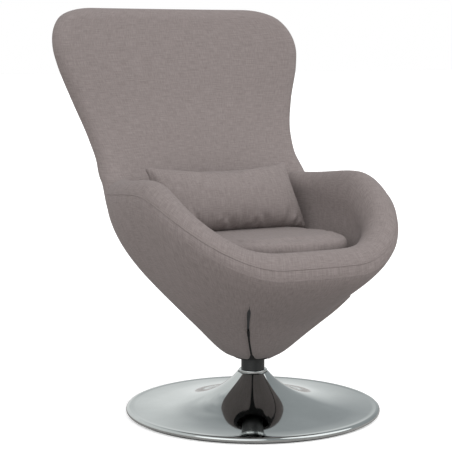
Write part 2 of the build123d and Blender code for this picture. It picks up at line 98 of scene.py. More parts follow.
# Outer side: fullness under the widest line at front, arm and rear, and its lean at the rear
BELLY_REACH = 66.0
BELLY_FULLNESS = (40.0, 70.0, 152.0)
BELLY_SPANS = ((30.0, 90.0), (90.0, 140.0))
REAR_LEAN = 20.0
REAR_LEAN_SPAN = (100.0, 180.0)
COVER_COLUMNS = 180
BELLY_ROWS = 44

# Skirt: radius and height of its top and hem, with the turned-in edge of the hem and its uneven line
SKIRT_TOP = (150.0, 222.0)
SKIRT_ANGLE = 44.0
SKIRT_REACH = 62.0
SKIRT_ROWS = 25
SKIRT_HEM = (50.0, 135.0)
HEM_ANGLE = 14.0
HEM_REACH = 32.0
HEM_FOLD = ((-1.5, 9.0), (-2.6, 1.5), (-1.2, -0.6))
HEM_WAVE = 1.1
HEM_WAVES = 3
HEM_WAVE_START = 0.6
HEM_WAVE_ROWS = 8
HEM_DIP = 5.0
HEM_DIP_AZIMUTH = 22.0
HEM_DIP_SPREAD = 9.0

# Slits in the cover, low at the front left and at the right side; shares run from a slit's top to the hem
SLIT_AZIMUTHS = (-31.0, 58.0)
SLIT_TOP = 303.0
SLIT_LONGEST = 1.05
SLIT_WIDTH = 5.0
SLIT_WIDENING = 0.25
SLIT_WAVER = 0.12
SLIT_WAVES = 0.06
SLIT_BOW = 7.0
SLIT_BOW_REACH = 14.0
SLIT_REACH = 4.0
SLIT_COLUMNS = np.array([0.5, 0.8, 1.2, 1.8, 2.6, 3.4])
SLIT_FIRST = SLIT_COLUMNS[0]

# Lips of the slits: they turn in at the edge and stand out a little beside it
LIP_FOLD = 4.0
LIP_FOLD_WIDTH = 4.5
LIP_FOLD_RATE = 6.0
LIP_FLARES = (2.0, 11.0)
LIP_FLARE_PLACE = 14.0
LIP_FLARE_SPREAD = 30.0
LIP_FLARE_IN = (0.0, 0.1)
LIP_FLARE_OUT = (0.2, 1.0)
LIP_TILT = 0.7

# Back: values at rising heights from below the parting to the top
RIB_HEIGHTS = np.array([500.0, 555.0, 640.0, 720.0, 800.0, 870.0, 952.0])
RIB_REAR = np.array([354.0, 366.0, 391.0, 416.0, 437.0, 458.0, 485.0])
WING_HALF_WIDTH = np.array([250.0, 243.0, 253.0, 277.0, 304.0, 318.0, 332.0])
WING_SETBACK = np.array([195.0, 250.0, 309.0, 344.0, 365.0, 386.0, 418.0])
BACK_THICKNESS = np.array([118.0, 114.0, 100.0, 84.0, 71.0, 63.0, 55.0])
WING_THICKNESS = np.array([73.0, 64.0, 57.0, 55.0, 54.0, 54.0, 54.0])
WING_FOOT = 4.0
WING_FOOT_IN = (525.0, 552.0)
WING_FOOT_OUT = (552.0, 595.0)
WING_END_STEPS = 19
BACK_FOOT = 478.0
BACK_TOP = 952.0
BACK_TOP_ROUND = 27.0
BACK_ROWS = 84
BACK_TOP_ROWS = 13
BACK_COLUMNS = 61
EAR_RADIUS = 120.0

# Seat cushion: outline, height, tuck of its foot, and the round of its upper edge
CUSHION_FRONT = 228.0
CUSHION_REAR = 207.0
CUSHION_HALF_WIDTH = 201.0
CUSHION_SQUARENESS = 2.7
CUSHION_FOOT = 341.0
CUSHION_HEIGHT = 80.0
CUSHION_SLOPE = 3.1
CUSHION_SIDE_SHARE = 0.8
CUSHION_TUCK = 64.0
CUSHION_TUCK_POWER = 2.4
CUSHION_FRONT_TUCK = 9.0
CUSHION_FRONT_TUCK_SPAN = (0.4, 0.72)
CUSHION_EDGE_ROUND = 17.0
CUSHION_AIR_ROOM = 4.0
CUSHION_STEPS = 144
CUSHION_SIDE_ROWS = 30
CUSHION_EDGE_ROWS = 16
CUSHION_TOP_ROWS = 22
CUSHION_FOOT_ROWS = 11

# Lumbar pillow: seam outline, its pull between the corners, crown powers and lean
PILLOW_WIDTH = 400.0
PILLOW_HEIGHT = 176.0
PILLOW_START_THICKNESS = 92.0
PILLOW_PULL = 9.0
PILLOW_SAG = 11.0
PILLOW_EDGE = 3.0
PILLOW_LEAN = 31.0
PILLOW_SIDE_POWER = 0.6
PILLOW_TOP_POWER = 0.7
PILLOW_FOOT_POWER = 0.42
PILLOW_COLUMNS = 81
PILLOW_ROWS = 51

# Gathers: count, then the mean, swing, pace and start of each quality that varies from fold to fold
GATHERS = 11
GATHER_SHIFT = (0.0, 8.0, 5.0, 0.0)
GATHER_SLANT = (0.0, 0.55, 2.3, 1.0)
GATHER_SIZE = (6.4, 2.2, 3.7, 0.0)
GATHER_WIDTH = (8.0, 2.0, 1.9, 0.0)
GATHER_REACH = (46.0, 18.0, 4.1, 0.0)
GATHER_START = (4.0, 16.0)
GATHER_HOLLOW = 0.8
GATHER_HOLLOW_PLACE = 1.7

# Air in the loose pads: voxel and swell in metres, pressure and cloth settings in Blender's units
PAD_VOXEL = 0.005
CUSHION_PRESSURE = 3.0
CUSHION_SWELL = 0.005
PILLOW_PRESSURE = 4.0
PILLOW_SWELL = 0.010
AIR_STEPS = 20
CLOTH_QUALITY = 6
CLOTH_MASS = 0.25

# Trumpet base: control points of its flare, sheet offset, and the bead rolled at its rim
TRUMPET_FLARE = ((286.0, 14.5), (120.0, 15.8), (66.0, 60.0), (36.0, 96.0))
TRUMPET_SHEET = 2.0
TRUMPET_ROWS = 70
TRUMPET_STEPS = 220
BEAD_CENTRE = (293.5, 9.0)
BEAD_RADIUS = 6.2
BEAD_TURN = 80.0
BEAD_STEPS = 22
BEAD_LIP = (289.0, 14.9)
BEAD_FOOT = (285.0, 5.0)

# Cloth: noise cells in a metre along and across the yarns of both ways, tones, bump in metres, and gloss
YARN_STRETCHES = ((60, 520), (520, 36))
YARN_DETAIL = 2.0
YARN_TONES = (0.72, 1.28)
YARN_BUMP = 0.2
YARN_BUMP_DISTANCE = 0.001
CLOTH_GLOSS = {"Roughness": 0.92, "Sheen Weight": 0.05, "Sheen Roughness": 0.5, "Specular IOR Level": 0.12}
TAUPE_DARK = (0.2, 0.171, 0.165)
TAUPE_LIGHT = (0.27, 0.235, 0.228)
LINING_DARK = (0.008, 0.008, 0.008)
LINING_LIGHT = (0.018, 0.018, 0.018)
MOTTLE_DETAIL = 4.0
MOTTLE_EDGES = (0.35, 0.65)

# Camera, solved from the base ellipse in the photograph's 452 pixel frame; distances in metres
CAMERA_AZIMUTH = -29.6
CAMERA_DISTANCE = 3.3
CAMERA_HEIGHT = 0.852
CAMERA_FOCAL_PIXELS = 1424.5
CAMERA_YAW = -1.1
CAMERA_PITCH = 7.11
IMAGE_PIXELS = 452
SENSOR_WIDTH = 36.0

# Studio: floor, sky, the soft panels that metal mirrors, and two broad suns
FLOOR_REACH = 40000.0
FLOOR_DROP = -0.6
FLOOR_BRIGHT = (0.92, 0.92, 0.92)
FLOOR_BOUNCE = (0.53, 0.515, 0.505)
FLOOR_ROUGHNESS = 0.9
FLOOR_GLOW = 0.4
SKY_GLOW = 0.8
PANEL_DIRECTION = (-0.87, 0.494, -0.8)
PANEL_STRETCH = (9.0, 9.0, 3.0)
PANEL_BANDS = 0.3
PANEL_RANGE = (-0.2, 0.09)
PANEL_DARK = (0.42, 0.45, 0.46)
PANEL_LIGHT = (0.93, 0.96, 0.955)
KEY_DIRECTION = (-0.52, 0.54, -0.64)
KEY_STRENGTH = 1.06
FILL_DIRECTION = (0.72, 0.6, -0.47)
FILL_STRENGTH = 0.8
SUN_SPREAD = 60.0


# Shared shape functions

def smooth_step(value, start, end):
    """Rise from 0 to 1 between start and end with level ends."""
    share = np.clip((value - start) / (end - start), 0.0, 1.0)
    return share * share * (3.0 - 2.0 * share)


def mix(first, second, share):
    """Value a share of the way from the first to the second."""
    return first + (second - first) * share


def in_stages(turn, values, spans):
    """Value that passes smoothly from each named value to the next within its span of azimuth."""
    total = values[0]
    for value, span in zip(values[1:], spans):
        total = mix(total, value, smooth_step(turn, *span))
    return total


def curve_through(knots, values, at):
    """Cubic curve through the knots, with slopes from the neighbours on each side."""
    slopes = np.gradient(values, knots)
    spot = np.clip(np.searchsorted(knots, at) - 1, 0, len(knots) - 2)
    width = knots[spot + 1] - knots[spot]
    t = (at - knots[spot]) / width
    rise = values[spot] * (2 * t ** 3 - 3 * t ** 2 + 1) + values[spot + 1] * (3 * t ** 2 - 2 * t ** 3)
    lean = slopes[spot] * (t ** 3 - 2 * t ** 2 + t) + slopes[spot + 1] * (t ** 3 - t ** 2)
    return rise + lean * width


def bezier(controls, t):
    """Cubic curve for each row of control points: four arrays (n, 2) and m shares give (n, m, 2)."""
    p0, p1, p2, p3 = [np.asarray(c, float)[:, None, :] for c in controls]
    t = np.asarray(t, float)[None, :, None]
    return (1 - t) ** 3 * p0 + 3 * (1 - t) ** 2 * t * p1 + 3 * (1 - t) * t ** 2 * p2 + t ** 3 * p3


def polar(azimuth, section):
    """Place (radius, height) sections (n, m, 2) at azimuths (n,) or (n, m) measured from the front."""
    angle = np.radians(azimuth)
    if angle.ndim == 1:
        angle = angle[:, None]
    radius = section[..., 0]
    return np.stack([radius * np.sin(angle), -radius * np.cos(angle), section[..., 1]], -1)


def along(angle_degrees, length):
    """Step of a length along a direction given as an angle above the horizontal."""
    turn = np.radians(angle_degrees)
    return np.stack(np.broadcast_arrays(length * np.cos(turn), length * np.sin(turn)), -1)


def quarter(start, end, turn, rising):
    """Quarter ellipse from start to end; a rising one leaves start upright, a falling one level."""
    slow = 1 - np.cos(turn)
    fast = np.sin(turn)
    radius = mix(start[:, 0:1], end[:, 0:1], slow if rising else fast)
    height = mix(start[:, 1:2], end[:, 1:2], fast if rising else slow)
    return np.stack([radius, height], -1)


# Lines of the tub by azimuth

def turn_from_front(azimuth):
    """Azimuth without its side: 0 at the front, 180 at the rear."""
    return 180.0 - np.abs(180.0 - np.abs(azimuth))


def rim_radius(azimuth):
    """Widest radius: a cosine series through the named radii, level at the front and the rear."""
    last = len(RIM_RADII) - 1
    order = np.arange(last + 1)
    ends = np.where((order == 0) | (order == last), 0.5, 1.0)
    weights = np.cos(np.pi * np.outer(order, order) / last) @ (ends * RIM_RADII) * ends * 2 / last
    return np.cos(np.multiply.outer(np.radians(azimuth), order)) @ weights


def arm_line(azimuth):
    """Height that rises from the front rim along the arm, then falls a little to the wing."""
    crests = (FRONT_CREST, ARM_CREST, WING_CREST)
    spans = ((RISE_START, RISE_END), (RISE_END, WING_AZIMUTH))
    return in_stages(turn_from_front(azimuth), crests, spans)


def crest_height(azimuth):
    """Top of the roll: the arm line, a little lower where the front rim turns up into the arm."""
    turn = turn_from_front(azimuth)
    dip = smooth_step(turn, *CREST_DIP_IN) * (1 - smooth_step(turn, *CREST_DIP_OUT))
    return arm_line(azimuth) - CREST_DIP * dip


def widest_height(azimuth):
    """Widest line a fixed drop below the arm line, coming down to the parting where the back begins."""
    share = smooth_step(turn_from_front(azimuth), RISE_END, WING_AZIMUTH)
    return mix(arm_line(azimuth) - ROLL_OUTER_DROP, PARTING_HEIGHT, share)


def roll_width(azimuth):
    """Width of the roll from its widest line to its inner edge."""
    return in_stages(turn_from_front(azimuth), ROLL_WIDTHS, ROLL_WIDTH_SPANS)


def side_lean(azimuth):
    """Lean of the outer side at its widest line, from upright: none at the arms, more at the rear."""
    return REAR_LEAN * smooth_step(turn_from_front(azimuth), *REAR_LEAN_SPAN)


def belly_controls(azimuth):
    """Control points of the outer side from the skirt up to the widest line."""
    fullness = in_stages(turn_from_front(azimuth), BELLY_FULLNESS, BELLY_SPANS)
    low = np.broadcast_to(np.array(SKIRT_TOP), (len(azimuth), 2))
    widest = np.stack([rim_radius(azimuth), widest_height(azimuth)], -1)
    below = widest + along(270 - side_lean(azimuth), fullness)
    return [low, low + along(SKIRT_ANGLE, BELLY_REACH), below, widest]


# Mesh makers

def grid_mesh(name, points, closed_u=False, closed_v=False, keep=None, ends=None, weave=True):
    """Quads over a grid of points (nu, nv, 3) in millimetres; keep masks the cells that get a face.

    A closed direction repeats its first row, which tidy_mesh merges, so that the weave map runs on
    unbroken. More quads, given by vertex number as ends, may close a grid that is open at its ends.
    """
    if closed_u:
        points = np.concatenate([points, points[:1]], 0)
    if closed_v:
        points = np.concatenate([points, points[:, :1]], 1)
    nu, nv = points.shape[:2]
    i, j = [a.ravel() for a in np.meshgrid(np.arange(nu - 1), np.arange(nv - 1), indexing="ij")]
    faces = np.stack([i * nv + j, (i + 1) * nv + j, (i + 1) * nv + j + 1, i * nv + j + 1], -1)
    if keep is not None:
        faces = faces[keep[i, j]]
    if ends is not None:
        faces = np.concatenate([faces, ends])
    mesh = bpy.data.meshes.new(name)
    mesh.from_pydata((points.reshape(-1, 3) * MM).tolist(), [], faces.tolist())
    mesh.polygons.foreach_set("use_smooth", np.ones(len(mesh.polygons), dtype=bool))
    if weave:
        set_weave(mesh, surface_lengths(points).reshape(-1, 2))
    piece = bpy.data.objects.new(name, mesh)
    bpy.context.scene.collection.objects.link(piece)
    return piece


def set_weave(mesh, lengths):
    """Store each vertex's place on the cloth, in metres, as a UV map."""
    layer = mesh.uv_layers.new(name=WEAVE_MAP)
    loops = np.empty(len(mesh.loops), dtype=np.int32)
    mesh.loops.foreach_get("vertex_index", loops)
    layer.data.foreach_set("uv", lengths[loops].astype(np.float32).ravel())
    mesh.update()


def surface_lengths(points):
    """Mean running lengths along the two directions of a grid, in metres."""
    step_u = np.linalg.norm(np.diff(points, axis=0), axis=-1).mean(1)
    step_v = np.linalg.norm(np.diff(points, axis=1), axis=-1).mean(0)
    u = np.concatenate([[0], np.cumsum(step_u)])
    v = np.concatenate([[0], np.cumsum(step_v)])
    return np.stack(np.meshgrid(u, v, indexing="ij"), -1) * MM


def vertex_points(mesh):
    """All vertices of a mesh as an array (n, 3), in metres."""
    points = np.empty(len(mesh.vertices) * 3)
    mesh.vertices.foreach_get("co", points)
    return points.reshape(-1, 3)


def tidy_mesh(piece, merge=0.0):
    """Merge doubled points and turn the faces outwards."""
    work = bmesh.new()
    work.from_mesh(piece.data)
    if merge:
        bmesh.ops.remove_doubles(work, verts=work.verts, dist=merge)
    bmesh.ops.recalc_face_normals(work, faces=work.faces)
    work.to_mesh(piece.data)
    work.free()


# Materials

def new_material(name):
    """Material with its nodes, links and main shader at hand."""
    material = bpy.data.materials.new(name)
    material.use_nodes = True
    nodes = material.node_tree.nodes
    return material, nodes, material.node_tree.links, nodes["Principled BSDF"]


def cloth_material(name, dark, light):
    """Plain weave: slubby yarns both ways from noise stretched on the weave map, with soft sheen and bump."""
    material, nodes, links, shader = new_material(name)
    place = nodes.new("ShaderNodeUVMap")
    place.uv_map = WEAVE_MAP
    yarns = nodes.new("ShaderNodeMath")
    yarns.operation = "ADD"
    for way, stretch in enumerate(YARN_STRETCHES):
        links.new(yarn_noise(nodes, links, place, stretch), yarns.inputs[way])
    share = nodes.new("ShaderNodeMapRange")
    share.inputs["From Min"].default_value = YARN_TONES[0]
    share.inputs["From Max"].default_value = YARN_TONES[1]
    links.new(yarns.outputs[0], share.inputs["Value"])
    ramp = nodes.new("ShaderNodeValToRGB")
    ramp.color_ramp.elements[0].color = (*dark, 1)
    ramp.color_ramp.elements[1].color = (*light, 1)
    links.new(share.outputs["Result"], ramp.inputs["Fac"])
    links.new(ramp.outputs["Color"], shader.inputs["Base Color"])
    bump = nodes.new("ShaderNodeBump")
    bump.inputs["Strength"].default_value = YARN_BUMP
    bump.inputs["Distance"].default_value = YARN_BUMP_DISTANCE
    links.new(yarns.outputs[0], bump.inputs["Height"])
    links.new(bump.outputs["Normal"], shader.inputs["Normal"])
    for socket, value in CLOTH_GLOSS.items():
        shader.inputs[socket].default_value = value
    return material


def yarn_noise(nodes, links, place, stretch):
    """Noise drawn out along one direction of the cloth, like a yarn of uneven thickness."""
    mapping = nodes.new("ShaderNodeMapping")
    mapping.inputs["Scale"].default_value = (*stretch, 1)
    links.new(place.outputs["UV"], mapping.inputs["Vector"])
    noise = nodes.new("ShaderNodeTexNoise")
    noise.inputs["Scale"].default_value = 1.0
    noise.inputs["Detail"].default_value = YARN_DETAIL
    links.new(mapping.outputs["Vector"], noise.inputs["Vector"])
    return noise.outputs["Fac"]


def mottled_material(name, dark, light, rough, metal=0.0, scale=60.0):
    """Rigid finish: two near tones and a little uneven gloss from noise, scale cells in a metre."""
    material, nodes, links, shader = new_material(name)
    place = nodes.new("ShaderNodeTexCoord")
    noise = nodes.new("ShaderNodeTexNoise")
    noise.inputs["Scale"].default_value = scale
    noise.inputs["Detail"].default_value = MOTTLE_DETAIL
    links.new(place.outputs["Object"], noise.inputs["Vector"])
    ramp = nodes.new("ShaderNodeValToRGB")
    for element, tone, position in zip(ramp.color_ramp.elements, (dark, light), MOTTLE_EDGES):
        element.position = position
        element.color = (*tone, 1)
    links.new(noise.outputs["Fac"], ramp.inputs["Fac"])
    links.new(ramp.outputs["Color"], shader.inputs["Base Color"])
    gloss = nodes.new("ShaderNodeMapRange")
    gloss.inputs["To Min"].default_value = rough[0]
    gloss.inputs["To Max"].default_value = rough[1]
    links.new(noise.outputs["Fac"], gloss.inputs["Value"])
    links.new(gloss.outputs["Result"], shader.inputs["Roughness"])
    shader.inputs["Metallic"].default_value = metal
    return material


taupe = cloth_material("taupe_weave", TAUPE_DARK, TAUPE_LIGHT)
lining = cloth_material("black_lining_cloth", LINING_DARK, LINING_LIGHT)
foam = mottled_material(
    "cream_foam", (0.62, 0.56, 0.40), (0.74, 0.68, 0.50), rough=(0.9, 1.0), scale=220.0)
chrome = mottled_material(
    "bright_chrome", (0.47, 0.487, 0.483), (0.53, 0.548, 0.543), rough=(0.035, 0.07), metal=1.0, scale=9.0)
black_paint = mottled_material(
    "black_powder_coat", (0.008, 0.009, 0.009), (0.014, 0.015, 0.015), rough=(0.38, 0.5), scale=300.0)
rubber = mottled_material(
    "dark_rubber", (0.02, 0.02, 0.021), (0.035, 0.035, 0.037), rough=(0.6, 0.8), scale=120.0)
steel = mottled_material(
    "zinc_steel", (0.50, 0.51, 0.52), (0.6, 0.61, 0.62), rough=(0.25, 0.4), metal=1.0)
nylon = mottled_material(
    "nylon", (0.66, 0.64, 0.58), (0.74, 0.72, 0.66), rough=(0.4, 0.5))
plywood = mottled_material(
    "birch_plywood", (0.50, 0.37, 0.23), (0.62, 0.48, 0.32), rough=(0.6, 0.75), scale=25.0)
moulded = mottled_material(
    "dark_moulding", (0.012, 0.012, 0.013), (0.022, 0.022, 0.024), rough=(0.5, 0.7), scale=80.0)

NODE_FINISH = {
    "floor_ring": rubber, "base_plate": steel, "base_trumpet": chrome, "neck_ring": chrome,
    "column_tube": black_paint, "column_bolt": steel, "upper_bush": nylon, "lower_bush": nylon,
    "thrust_washer": nylon, "swivel_spindle": steel, "spindle_clip": steel, "seat_plate": black_paint,
    "plate_bolts": steel, "tee_nuts": steel, "seat_board": plywood, "outer_cover": taupe,
    "inner_cover": taupe, "tub_padding": foam, "tub_shell": moulded, "rim_piping": taupe,
    "skirt_front": taupe, "skirt_rear": taupe, "skirt_lining": lining, "seat_block": foam,
    "seat_deck": lining, "back_cover": taupe, "back_shell": moulded, "back_padding": foam,
    "seat_cushion_cover": taupe, "seat_cushion_foam": foam, "pillow_cover": taupe, "pillow_filling": foam,
}


def give_finish(piece, finish):
    """Make a finish the only material of a piece."""
    piece.data.materials.clear()
    piece.data.materials.append(finish)


def dress(piece, finish, body, slot, *nodes):
    """Give a piece its finish and its body, and hide the nodes it stands for; the slot is not used."""
    give_finish(piece, finish)
    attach(piece, body)
    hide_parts(*nodes)


for node, finish in NODE_FINISH.items():
    give_finish(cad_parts[node], finish)


# Outer cover and skirt with the two slits

def nearest_slit(azimuth):
    """Azimuth of the nearer slit."""
    left, right = SLIT_AZIMUTHS
    return np.where(np.abs(azimuth - left) < np.abs(azimuth - right), left, right)


def slit_columns():
    """Azimuths round the tub, close together beside the slits."""
    plain = np.linspace(-180, 180, COVER_COLUMNS, endpoint=False)
    away = np.abs(plain - nearest_slit(plain)) > SLIT_REACH
    extra = [azimuth + sign * SLIT_COLUMNS for azimuth in SLIT_AZIMUTHS for sign in (-1, 1)]
    return np.sort(np.concatenate([plain[away], *extra]))


def drawn_to_slits(columns, half_angle):
    """Azimuths of the columns after those beside a slit are spread evenly from its edge to its reach."""
    nearest = nearest_slit(columns)
    beside = np.abs(columns - nearest)
    stretch = (SLIT_REACH - half_angle) / (SLIT_REACH - SLIT_FIRST)
    pulled = half_angle + (beside - SLIT_FIRST) * stretch
    return nearest + np.sign(columns - nearest) * np.where(beside < SLIT_REACH, pulled, beside)


def cover_section(azimuth):
    """Turned-in hem, skirt curve and side curve, stacked from the hem to the widest line at each azimuth."""
    hem = np.broadcast_to(np.array(SKIRT_HEM), (len(azimuth), 2))
    top = np.broadcast_to(np.array(SKIRT_TOP), (len(azimuth), 2))
    skirt = [hem, hem + along(HEM_ANGLE, HEM_REACH), top + along(SKIRT_ANGLE + 180, SKIRT_REACH), top]
    inside = hem[:, None] + np.array(HEM_FOLD)
    lower = bezier(skirt, np.linspace(0, 1, SKIRT_ROWS, endpoint=False))
    upper = bezier(belly_controls(azimuth), np.linspace(0, 1, BELLY_ROWS))
    return np.concatenate([inside, lower, upper], 1)


def hem_line(azimuth):
    """Uneven height of the hem: a few low waves round the skirt and one bell-shaped dip near the front."""
    waves = HEM_WAVE * np.sin(np.radians(azimuth) * HEM_WAVES + HEM_WAVE_START)
    return waves - HEM_DIP * np.exp(-((azimuth - HEM_DIP_AZIMUTH) / HEM_DIP_SPREAD) ** 2)


def outer_cover():
    """Cover sections carried round the tub and opened at the slits.

    Beside a slit the columns close in on its edges, which bow sideways and turn in like a folded hem; the
    cells between the two edges have no faces. Above the slit's top the two edges are one line.
    """
    columns = slit_columns()
    section = cover_section(drawn_to_slits(columns, 0.0))
    radius = section[..., 0]
    height = section[..., 1]
    nearest = nearest_slit(columns)[:, None]
    beside = np.abs(columns[:, None] - nearest)
    open_share = np.clip((SLIT_TOP - height) / (SLIT_TOP - SKIRT_HEM[1]), 0, SLIT_LONGEST)
    waver = 1 + SLIT_WAVER * np.sin(height * SLIT_WAVES + nearest)
    half_angle = np.degrees(SLIT_WIDTH / 2 * smooth_step(open_share, 0, SLIT_WIDENING) * waver / radius)
    azimuth = drawn_to_slits(columns[:, None], half_angle)
    bow = np.degrees(SLIT_BOW * np.sin(np.pi * np.minimum(open_share, 1)) / radius)
    bow = bow * (1 - smooth_step(beside, SLIT_REACH, SLIT_BOW_REACH))
    edge = np.radians(np.abs(azimuth - nearest) - half_angle) * radius
    fold = LIP_FOLD * np.exp(-(edge / LIP_FOLD_WIDTH) ** 2) * np.minimum(open_share * LIP_FOLD_RATE, 1)
    flare = np.where(nearest == SLIT_AZIMUTHS[0], *LIP_FLARES)
    swell = smooth_step(open_share, *LIP_FLARE_IN) * (1 - smooth_step(open_share, *LIP_FLARE_OUT))
    lift = flare * np.exp(-((edge - LIP_FLARE_PLACE) / LIP_FLARE_SPREAD) ** 2) * swell
    shifted = np.stack([radius - fold + lift, height + LIP_TILT * (fold - lift)], -1)
    shifted[:, :HEM_WAVE_ROWS, 1] += hem_line(columns)[:, None] * np.linspace(1, 0, HEM_WAVE_ROWS)
    points = polar(azimuth - bow, shifted)
    on_edge = np.isclose(beside[:, 0], SLIT_FIRST)
    opening = on_edge & np.roll(on_edge, -1)
    keep = np.broadcast_to(~opening[:, None], points.shape[:2])
    piece = grid_mesh("tub_outer_cover", points, closed_u=True, keep=keep)
    tidy_mesh(piece, FOLD_MERGE)
    return piece


# Rolled rim, winged back and seam cord

def rolled_rim():
    """Rolled rim and inner wall: two quarter ellipses over the crest, then a curve down to the deck.

    A short tuck runs down behind the outer cover. Towards the rear the crest comes down to the parting,
    where the winged back begins.
    """
    columns = np.linspace(-180, 180, ROLL_COLUMNS, endpoint=False)
    turn = turn_from_front(columns)
    outer = rim_radius(columns)
    width = roll_width(columns)
    crest = mix(crest_height(columns), PARTING_HEIGHT + PARTING_LIP, smooth_step(turn, *PARTING_SPAN))
    inner_height = crest_height(columns) - in_stages(turn, ROLL_INNER_DROPS, ROLL_INNER_SPANS)
    widest = np.stack([outer, widest_height(columns)], -1)
    middle = np.stack([outer - width / 2, crest], -1)
    inner = np.stack([outer - width, np.minimum(inner_height, crest - ROLL_LEAST_DROP)], -1)
    deck = np.broadcast_to(np.array([DECK_RADIUS, DECK_HEIGHT]), widest.shape)
    bend = np.stack([inner[:, 0], (inner[:, 1] + DECK_HEIGHT) / 2], -1)
    climb = np.linspace(0, np.pi / 2, ROLL_STEPS)[None]
    tuck = widest + along(270 - side_lean(columns), TUCK_DEPTH) - np.array([TUCK_INSET, 0.0])
    rise = quarter(widest, middle, climb, True)
    fall = quarter(middle, inner, climb[:, 1:], False)
    well = bezier([inner, bend, deck + np.array([DECK_LEAD, 0.0]), deck], np.linspace(0, 1, WELL_ROWS)[1:])
    section = np.concatenate([tuck[:, None], rise, fall, well], 1)
    piece = grid_mesh("rolled_rim", polar(columns, section), closed_u=True)
    tidy_mesh(piece, CLOSE_MERGE)
    return piece


def winged_back():
    """Crescent ribs stacked from inside the tub to the top.

    Each rib follows a middle arc; half its thickness goes to each side, less towards the wings, and a
    half circle rounds each wing end. Near the top the ribs close in, and the ears are rounded off.
    """
    low = np.linspace(BACK_FOOT, BACK_TOP - BACK_TOP_ROUND, BACK_ROWS)
    high = BACK_TOP - BACK_TOP_ROUND * (1 - np.sin(np.linspace(0, np.pi / 2, BACK_TOP_ROWS)[1:]))
    level = np.concatenate([low, high])
    rear, half_width, setback, thickness, wing = [
        curve_through(RIB_HEIGHTS, table, level)
        for table in (RIB_REAR, WING_HALF_WIDTH, WING_SETBACK, BACK_THICKNESS, WING_THICKNESS)
    ]
    foot = smooth_step(level, *WING_FOOT_IN) * (1 - smooth_step(level, *WING_FOOT_OUT))
    half_width = half_width + WING_FOOT * foot
    rise = np.clip((level - BACK_TOP + BACK_TOP_ROUND) / BACK_TOP_ROUND, 0, 1)
    swell = np.sqrt(np.maximum(1 - rise ** 2, 0.0))
    ear = np.clip(level - BACK_TOP + EAR_RADIUS, 0, EAR_RADIUS)
    drawn = EAR_RADIUS - np.sqrt(EAR_RADIUS ** 2 - ear ** 2)
    middle = rear - thickness / 2
    bow = middle - setback
    radius = (half_width ** 2 + bow ** 2) / (2 * bow)
    end_angle = np.arcsin((half_width - drawn) / radius)
    share = np.sin(np.linspace(-np.pi / 2, np.pi / 2, BACK_COLUMNS))
    half = mix((thickness / 2)[:, None], (wing / 2)[:, None], share[None] ** 2) * swell[:, None]
    arc = end_angle[:, None] * share[None]
    round_turn = np.linspace(0, np.pi, WING_END_STEPS)[1:-1]
    end_half = (wing / 2 * swell)[:, None]
    cap = end_angle[:, None] + end_half * np.sin(round_turn)[None] / radius[:, None]
    cap_offset = end_half * np.cos(round_turn)[None]
    angle = np.concatenate([arc, cap, arc[:, ::-1], -cap[:, ::-1]], 1)
    offset = np.concatenate([half, cap_offset, -half[:, ::-1], cap_offset[:, ::-1]], 1)
    reach = radius[:, None] + offset
    x = reach * np.sin(angle)
    y = (middle - radius)[:, None] + reach * np.cos(angle)
    z = np.broadcast_to(level[:, None], x.shape)
    piece = grid_mesh("winged_back", np.stack([x, y, z], -1), closed_v=True)
    tidy_mesh(piece, FOLD_MERGE)
    return piece


def rim_piping():
    """Thin sewn cord: a small circle carried round the roll at the seam's height on its outer quarter."""
    stop = WING_AZIMUTH - PIPING_STOP
    azimuth = np.linspace(-stop, stop, PIPING_COLUMNS)
    turn = np.linspace(0, 2 * np.pi, PIPING_STEPS, endpoint=False)
    widest = np.stack([rim_radius(azimuth), widest_height(azimuth)], -1)
    crest = np.stack([rim_radius(azimuth) - roll_width(azimuth) / 2, crest_height(azimuth)], -1)
    rise = (arm_line(azimuth) - SEAM_DROP - widest[:, 1]) / (crest[:, 1] - widest[:, 1])
    climb = np.arcsin(np.clip(rise, 0.0, PIPING_HIGHEST))
    centre = quarter(widest, crest, climb[:, None], True)
    ring = np.stack([np.cos(turn), np.sin(turn)], -1) * PIPING_RADIUS
    piece = grid_mesh("rim_piping_cord", polar(azimuth, centre + ring[None]), closed_v=True)
    tidy_mesh(piece, CLOSE_MERGE)
    return piece


# Loose cushions, filled by a cloth simulation

def fill_with_air(piece, pressure, swell):
    """Remesh a piece evenly, blow it up as cloth without gravity, and let no point move past the swell."""
    remesh = piece.modifiers.new("even", "REMESH")
    remesh.mode = "VOXEL"
    remesh.voxel_size = PAD_VOXEL
    remesh.use_smooth_shade = True
    scene = bpy.context.scene
    even = bpy.data.meshes.new_from_object(piece.evaluated_get(bpy.context.evaluated_depsgraph_get()))
    piece.modifiers.clear()
    piece.data = even
    start = vertex_points(even)
    cloth = piece.modifiers.new("cloth", "CLOTH")
    cloth.settings.quality = CLOTH_QUALITY
    cloth.settings.mass = CLOTH_MASS
    cloth.settings.use_pressure = True
    cloth.settings.uniform_pressure_force = pressure
    cloth.settings.effector_weights.gravity = 0.0
    cloth.point_cache.frame_start = 1
    cloth.point_cache.frame_end = AIR_STEPS
    for step in range(1, AIR_STEPS + 1):
        scene.frame_set(step)
    blown = piece.evaluated_get(bpy.context.evaluated_depsgraph_get()).to_mesh()
    move = vertex_points(blown) - start
    length = np.linalg.norm(move, axis=1, keepdims=True)
    move *= np.minimum(1.0, swell / np.maximum(length, 1e-9))
    piece.modifiers.clear()
    scene.frame_set(1)
    even.vertices.foreach_set("co", (start + move).ravel())
    even.update()
    finer = piece.modifiers.new("finer", "SUBSURF")
    finer.levels = 1
    finer.render_levels = 1


